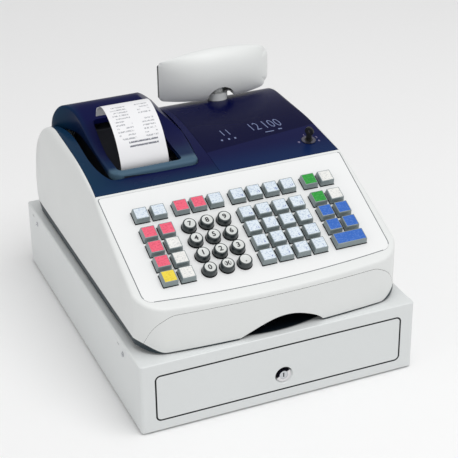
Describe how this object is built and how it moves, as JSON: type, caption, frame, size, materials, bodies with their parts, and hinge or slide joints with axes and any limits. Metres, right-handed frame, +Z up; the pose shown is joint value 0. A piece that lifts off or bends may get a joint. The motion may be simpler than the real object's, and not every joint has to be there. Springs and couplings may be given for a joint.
{
  "type": "ticket register",
  "caption": "Till register with a sloped keyboard, receipt printer, operator and customer displays, standing on a sliding lockable cash drawer.",
  "frame": {"origin": "on the floor under the middle of the drawer cabinet", "axes": "+Z up, the operator stands at -Y, +X to the operator's right"},
  "size_m": [0.3324, 0.423, 0.2859],
  "materials": {
    "case_white": "fine satin",
    "cabinet_white": "satin powder coat",
    "steel": "zinc plated",
    "rubber": "matte",
    "nylon": "satin",
    "chrome": "polished",
    "black_plastic": "matte",
    "tinted_navy": "glossy, tinted",
    "dark_window": "glossy, tinted",
    "overlay_pale": "satin film",
    "board_green": "solder mask",
    "iron": "varnished laminations",
    "paper": "smooth",
    "key_white": "satin",
    "key_grey": "satin",
    "key_blue": "satin",
    "till_grey": "satin",
    "spring_steel": "bright"
  },
  "bodies": {
    "register": {"cabinet_shell": "cabinet_white", "cabinet_front_frame": "cabinet_white", "cabinet_base": "steel", "rubber_feet": "rubber", "screws": "steel", "cabinet_rails": "steel", "latch_solenoid": "steel", "ejector_spring": "spring_steel", "base_chassis": "black_plastic", "lower_case": "case_white", "upper_case": "case_white", "keyboard_overlay": "overlay_pale", "key_frame": "black_plastic", "keyboard_board": "board_green", "main_board": "board_green", "transformer": "iron", "display_window": "tinted_navy", "display_module": "dark_window", "mode_switch": "black_plastic", "printer_bezel": "tinted_navy", "tear_bar": "steel", "printer_frame": "black_plastic", "feed_motor": "steel", "print_head": "black_plastic", "receipt": "paper", "power_inlet": "black_plastic"},
    "cabinet_rollers": {"cabinet_rollers": "nylon"},
    "drawer": {"drawer_tray": "steel", "drawer_front": "cabinet_white", "lock_barrel": "chrome", "till_insert": "till_grey"},
    "tray_rollers": {"tray_rollers": "nylon"},
    "lock_plug": {"lock_plug": "chrome"},
    "latch_hook": {"latch_hook": "steel"},
    "bill_clips": {"bill_clips": "till_grey"},
    "mode_rotor": {"mode_rotor": "chrome"},
    "printer_cover": {"printer_cover": "tinted_navy"},
    "platen_roller": {"platen_roller": "rubber"},
    "drive_gear": {"drive_gear": "nylon"},
    "paper_roll": {"paper_roll": "paper"},
    "display_post": {"display_post": "case_white"},
    "customer_display": {"customer_housing": "case_white", "customer_window": "dark_window", "customer_board": "board_green"},
    "key_7": {"key_7": "key_grey"},
    "key_8": {"key_8": "key_grey"},
    "key_9": {"key_9": "key_grey"},
    "key_4": {"key_4": "key_grey"},
    "key_5": {"key_5": "key_grey"},
    "key_6": {"key_6": "key_grey"},
    "key_1": {"key_1": "key_grey"},
    "key_2": {"key_2": "key_grey"},
    "key_3": {"key_3": "key_grey"},
    "key_0": {"key_0": "key_grey"},
    "key_00": {"key_00": "key_grey"},
    "key_point": {"key_point": "key_grey"},
    "total_key": {"total_key": "key_blue"},
    "function_keys": {"function_keys": "key_white"},
    "department_keys": {"department_keys": "key_white"},
    "payment_keys": {"payment_keys": "key_white"}
  },
  "joints": [
    {"name": "drawer_slide", "type": "slide", "parent": "register", "child": "drawer", "axis": [0, -1, 0], "range_m": [0, 0.26]},
    {"name": "cabinet_roller_spin", "type": "hinge", "parent": "register", "child": "cabinet_rollers", "pos_m": [0, -0.186, 0.0347], "axis": [1, 0, 0], "continuous": true},
    {"name": "tray_roller_spin", "type": "hinge", "parent": "drawer", "child": "tray_rollers", "pos_m": [0, 0.154, 0.0193], "axis": [1, 0, 0], "continuous": true},
    {"name": "lock_turn", "type": "hinge", "parent": "drawer", "child": "lock_plug", "pos_m": [0.003, -0.2, 0.0326], "axis": [0, -1, 0], "range_deg": [0, 90]},
    {"name": "latch_turn", "type": "hinge", "parent": "register", "child": "latch_hook", "pos_m": [0, 0.192, 0.054], "axis": [1, 0, 0], "range_deg": [0, 11]},
    {"name": "bill_clip_lift", "type": "hinge", "parent": "drawer", "child": "bill_clips", "pos_m": [0, 0.0895, 0.0592], "axis": [-1, 0, 0], "range_deg": [0, 45], "stiffness_Nm_per_rad": 0.05, "springref_deg": -17.19},
    {"name": "mode_key_turn", "type": "hinge", "parent": "register", "child": "mode_rotor", "pos_m": [0.125, -0.016, 0.213], "axis": [0, -0.1478, 0.989], "range_deg": [-90, 90]},
    {"name": "printer_cover_lift", "type": "hinge", "parent": "register", "child": "printer_cover", "pos_m": [-0.075, 0.1665, 0.2068], "axis": [-1, 0, 0], "range_deg": [0, 75]},
    {"name": "paper_roll_spin", "type": "hinge", "parent": "register", "child": "paper_roll", "pos_m": [-0.0765, 0.118, 0.196], "axis": [1, 0, 0], "continuous": true},
    {"name": "platen_spin", "type": "hinge", "parent": "register", "child": "platen_roller", "pos_m": [-0.0765, 0.006, 0.195], "axis": [1, 0, 0], "continuous": true},
    {"name": "drive_gear_spin", "type": "hinge", "parent": "register", "child": "drive_gear", "pos_m": [-0.038, 0.006, 0.18275], "axis": [1, 0, 0], "continuous": true},
    {"name": "display_raise", "type": "slide", "parent": "register", "child": "display_post", "axis": [0, 0, 1], "range_m": [0, 0.05]},
    {"name": "display_swivel", "type": "hinge", "parent": "display_post", "child": "customer_display", "pos_m": [0.07, 0.133, 0.245], "axis": [0, 0, 1], "range_deg": [-135, 135]},
    {"name": "key_7_press", "type": "slide", "parent": "register", "child": "key_7", "axis": [0, 0.3955, -0.9184], "range_m": [0, 0.0032], "stiffness_N_per_m": 150, "springref_m": -0.0015},
    {"name": "key_8_press", "type": "slide", "parent": "register", "child": "key_8", "axis": [0, 0.3955, -0.9184], "range_m": [0, 0.0032], "stiffness_N_per_m": 150, "springref_m": -0.0015},
    {"name": "key_9_press", "type": "slide", "parent": "register", "child": "key_9", "axis": [0, 0.3955, -0.9184], "range_m": [0, 0.0032], "stiffness_N_per_m": 150, "springref_m": -0.0015},
    {"name": "key_4_press", "type": "slide", "parent": "register", "child": "key_4", "axis": [0, 0.3955, -0.9184], "range_m": [0, 0.0032], "stiffness_N_per_m": 150, "springref_m": -0.0015},
    {"name": "key_5_press", "type": "slide", "parent": "register", "child": "key_5", "axis": [0, 0.3955, -0.9184], "range_m": [0, 0.0032], "stiffness_N_per_m": 150, "springref_m": -0.0015},
    {"name": "key_6_press", "type": "slide", "parent": "register", "child": "key_6", "axis": [0, 0.3955, -0.9184], "range_m": [0, 0.0032], "stiffness_N_per_m": 150, "springref_m": -0.0015},
    {"name": "key_1_press", "type": "slide", "parent": "register", "child": "key_1", "axis": [0, 0.3955, -0.9184], "range_m": [0, 0.0032], "stiffness_N_per_m": 150, "springref_m": -0.0015},
    {"name": "key_2_press", "type": "slide", "parent": "register", "child": "key_2", "axis": [0, 0.3955, -0.9184], "range_m": [0, 0.0032], "stiffness_N_per_m": 150, "springref_m": -0.0015},
    {"name": "key_3_press", "type": "slide", "parent": "register", "child": "key_3", "axis": [0, 0.3955, -0.9184], "range_m": [0, 0.0032], "stiffness_N_per_m": 150, "springref_m": -0.0015},
    {"name": "key_0_press", "type": "slide", "parent": "register", "child": "key_0", "axis": [0, 0.3955, -0.9184], "range_m": [0, 0.0032], "stiffness_N_per_m": 150, "springref_m": -0.0015},
    {"name": "key_00_press", "type": "slide", "parent": "register", "child": "key_00", "axis": [0, 0.3955, -0.9184], "range_m": [0, 0.0032], "stiffness_N_per_m": 150, "springref_m": -0.0015},
    {"name": "key_point_press", "type": "slide", "parent": "register", "child": "key_point", "axis": [0, 0.3955, -0.9184], "range_m": [0, 0.0032], "stiffness_N_per_m": 150, "springref_m": -0.0015},
    {"name": "total_key_press", "type": "slide", "parent": "register", "child": "total_key", "axis": [0, 0.3955, -0.9184], "range_m": [0, 0.0032], "stiffness_N_per_m": 220, "springref_m": -0.0015},
    {"name": "function_keys_press", "type": "slide", "parent": "register", "child": "function_keys", "axis": [0, 0.3955, -0.9184], "range_m": [0, 0.0032], "stiffness_N_per_m": 900, "springref_m": -0.0015},
    {"name": "department_keys_press", "type": "slide", "parent": "register", "child": "department_keys", "axis": [0, 0.3955, -0.9184], "range_m": [0, 0.0032], "stiffness_N_per_m": 1300, "springref_m": -0.0015},
    {"name": "payment_keys_press", "type": "slide", "parent": "register", "child": "payment_keys", "axis": [0, 0.3955, -0.9184], "range_m": [0, 0.0032], "stiffness_N_per_m": 600, "springref_m": -0.0015}
  ],
  "couplings": [
    {"joint": "cabinet_roller_spin", "follows": "drawer_slide", "rad_per_m": 166.67},
    {"joint": "tray_roller_spin", "follows": "drawer_slide", "rad_per_m": 142.86},
    {"joint": "paper_roll_spin", "follows": "platen_spin", "ratio": -0.1875},
    {"joint": "drive_gear_spin", "follows": "platen_spin", "ratio": -1.5}
  ]
}
